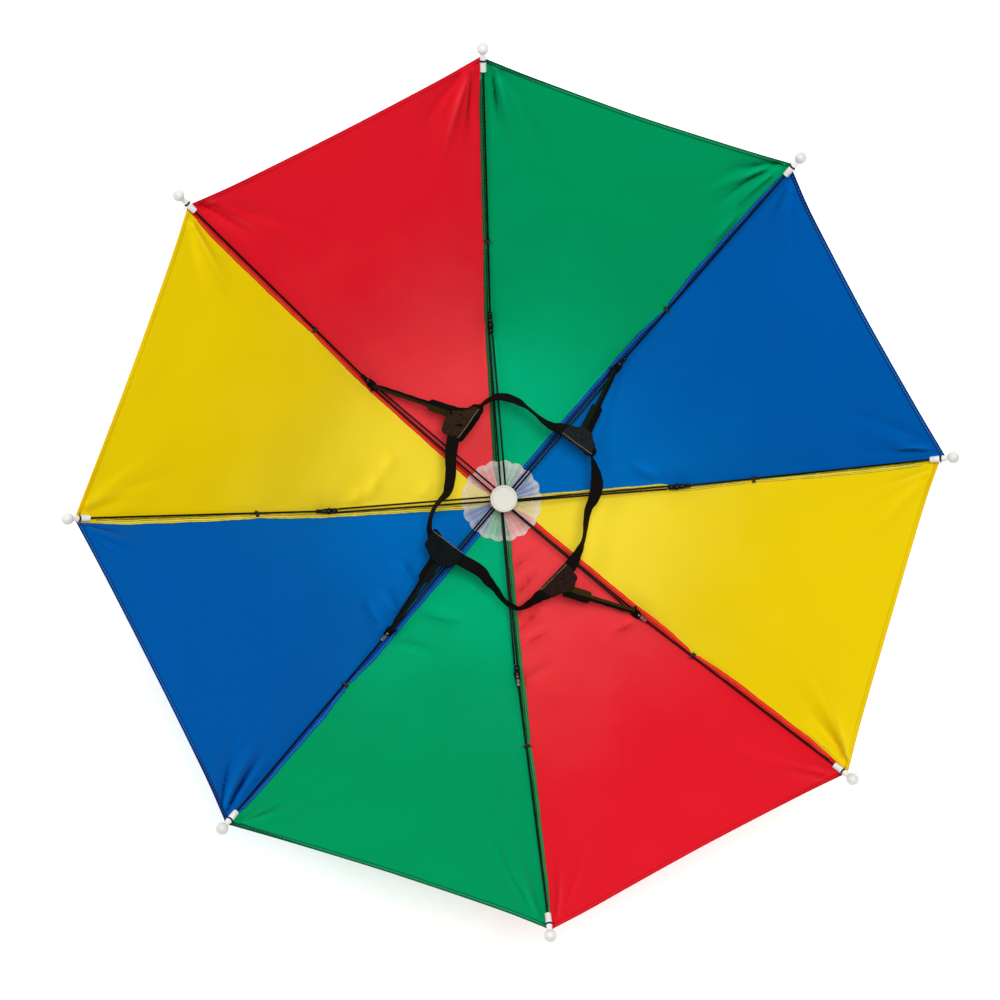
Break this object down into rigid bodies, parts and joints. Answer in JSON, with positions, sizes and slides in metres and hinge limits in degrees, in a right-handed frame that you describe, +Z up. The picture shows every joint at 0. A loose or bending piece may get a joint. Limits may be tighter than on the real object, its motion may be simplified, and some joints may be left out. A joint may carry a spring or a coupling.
{
  "type": "umbrella hat",
  "caption": "Open umbrella hat lying crown down: coloured cloth canopy on folding black ribs, white tip caps, and an elastic headband on straps inside.",
  "frame": {"origin": "middle of the crown cap's flat foot, on the surface that the hat lies on, at the bottom centre of its box", "axes": "+Z up along the crown's axis, from the cap to the mouth of the bowl; a rib points along +Y; the hat lies crown down"},
  "size_m": [0.649, 0.649, 0.137],
  "materials": {
    "cloth_red": "plain woven polyester, soft sheen",
    "cloth_green": "plain woven polyester, soft sheen",
    "cloth_blue": "plain woven polyester, soft sheen",
    "cloth_yellow": "plain woven polyester, soft sheen",
    "white_plastic": "moulded, satin gloss",
    "rosette": "thin translucent white, pleated",
    "rib_wire": "black enamelled steel, glossy",
    "band_elastic": "black woven elastic, matte",
    "pad_felt": "dark grey felt, matte"
  },
  "bodies": {
    "root": {"crown_cap": "white_plastic", "crown_rosette": "rosette", "rib_notch": "white_plastic", "runner_disc": "white_plastic", "canopy_panel_1": "cloth_green", "canopy_panel_2": "cloth_blue", "canopy_panel_3": "cloth_yellow", "canopy_panel_4": "cloth_red", "canopy_panel_5": "cloth_green", "canopy_panel_6": "cloth_blue", "canopy_panel_7": "cloth_yellow", "canopy_panel_8": "cloth_red", "inner_rib_1": "rib_wire", "inner_rib_2": "rib_wire", "inner_rib_3": "rib_wire", "inner_rib_4": "rib_wire", "inner_rib_5": "rib_wire", "inner_rib_6": "rib_wire", "inner_rib_7": "rib_wire", "inner_rib_8": "rib_wire", "stretcher_1": "rib_wire", "stretcher_2": "rib_wire", "stretcher_3": "rib_wire", "stretcher_4": "rib_wire", "stretcher_5": "rib_wire", "stretcher_6": "rib_wire", "stretcher_7": "rib_wire", "stretcher_8": "rib_wire", "outer_rib_1": "rib_wire", "outer_rib_2": "rib_wire", "outer_rib_3": "rib_wire", "outer_rib_4": "rib_wire", "outer_rib_5": "rib_wire", "outer_rib_6": "rib_wire", "outer_rib_7": "rib_wire", "outer_rib_8": "rib_wire", "tip_cap_1": "white_plastic", "tip_cap_2": "white_plastic", "tip_cap_3": "white_plastic", "tip_cap_4": "white_plastic", "tip_cap_5": "white_plastic", "tip_cap_6": "white_plastic", "tip_cap_7": "white_plastic", "tip_cap_8": "white_plastic", "headband": "band_elastic", "band_pad_back_right": "pad_felt", "band_strap_back_right": "band_elastic", "band_pad_front_right": "pad_felt", "band_strap_front_right": "band_elastic", "band_pad_front_left": "pad_felt", "band_strap_front_left": "band_elastic", "band_pad_back_left": "pad_felt", "band_strap_back_left": "band_elastic"}
  },
  "joints": []
}
